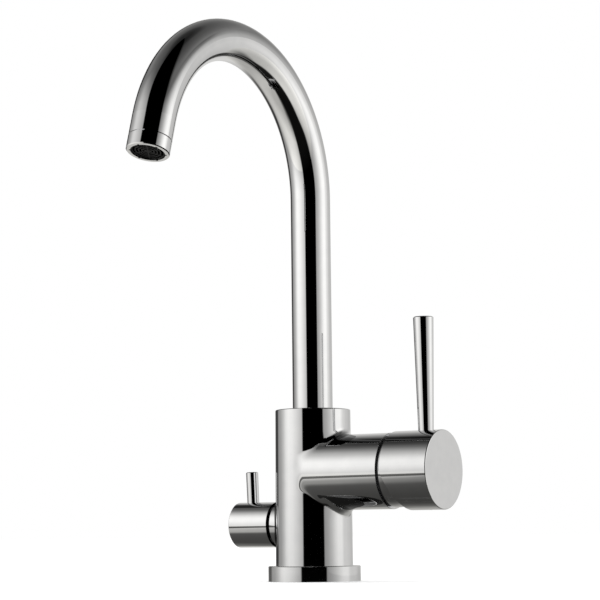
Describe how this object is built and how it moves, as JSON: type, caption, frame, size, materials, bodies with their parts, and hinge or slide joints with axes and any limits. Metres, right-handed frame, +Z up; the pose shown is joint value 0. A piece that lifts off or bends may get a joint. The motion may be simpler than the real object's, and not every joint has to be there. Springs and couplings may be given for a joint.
{
  "type": "kitchen mixer tap",
  "caption": "Chrome kitchen mixer tap: swivelling arched spout, side lever on a horizontal mixing cartridge, and a small quarter-turn shut-off knob for an appliance.",
  "frame": {"origin": "centre of the base ring's underside, on the worktop", "axes": "+Z up along the body, -Y towards the outlet of the spout at rest, +X along the side branch to the handle"},
  "size_m": [0.1409, 0.2041, 0.3222],
  "materials": {
    "chrome": "bright polished plating",
    "brass": "turned",
    "ceramic": "lapped",
    "rubber": "smooth",
    "black_plastic": "moulded, satin",
    "white_plastic": "moulded, satin",
    "steel": "bright drawn"
  },
  "bodies": {
    "tap_body": {"base_ring": "chrome", "base_gasket": "rubber", "body_casting": "chrome", "spout_lock_screw": "steel", "cartridge_base": "white_plastic", "cartridge_port_seals": "rubber", "cartridge_housing": "white_plastic", "fixed_ceramic_disc": "ceramic", "cartridge_nut": "brass", "gap_ring": "black_plastic", "cartridge_dome": "chrome", "shutoff_headwork": "brass", "shutoff_o_ring": "rubber", "shutoff_seal": "rubber", "shutoff_fixed_disc": "ceramic"},
    "spout": {"spout_tube": "chrome", "spout_foot": "brass", "spout_o_rings": "rubber", "spout_slip_rings": "white_plastic", "aerator_housing": "chrome", "aerator_insert": "black_plastic", "aerator_screen": "steel", "aerator_washer": "rubber"},
    "mixing_carrier": {"cartridge_turntable": "white_plastic", "stem_pivot_pin": "steel"},
    "handle": {"handle_cap": "chrome", "lever_rod": "chrome", "lever_stem": "brass", "handle_grub_screw": "steel"},
    "mixing_disc": {"disc_driver": "white_plastic", "moving_ceramic_disc": "ceramic"},
    "shutoff": {"shutoff_knob": "chrome", "shutoff_pin": "chrome", "shutoff_spindle": "brass", "spindle_o_ring": "rubber", "spindle_clip": "steel", "shutoff_moving_disc": "ceramic"}
  },
  "joints": [
    {"name": "spout_swivel", "type": "hinge", "parent": "tap_body", "child": "spout", "pos_m": [0, 0, 0.1], "axis": [0, 0, 1], "range_deg": [-60, 60]},
    {"name": "handle_turn", "type": "hinge", "parent": "tap_body", "child": "mixing_carrier", "pos_m": [0.0568, 0, 0.0642], "axis": [1, 0, 0], "range_deg": [-45, 45]},
    {"name": "handle_tilt", "type": "hinge", "parent": "mixing_carrier", "child": "handle", "pos_m": [0.0568, 0, 0.0642], "axis": [0, 1, 0], "range_deg": [0, 20]},
    {"name": "disc_slide", "type": "slide", "parent": "mixing_carrier", "child": "mixing_disc", "axis": [0, 0, 1], "range_m": [0, 0.0036]},
    {"name": "shutoff_turn", "type": "hinge", "parent": "tap_body", "child": "shutoff", "pos_m": [-0.03, 0, 0.0339], "axis": [1, 0, 0], "range_deg": [0, 90]}
  ],
  "couplings": [
    {"joint": "disc_slide", "follows": "handle_tilt", "m_per_rad": 0.010288}
  ]
}
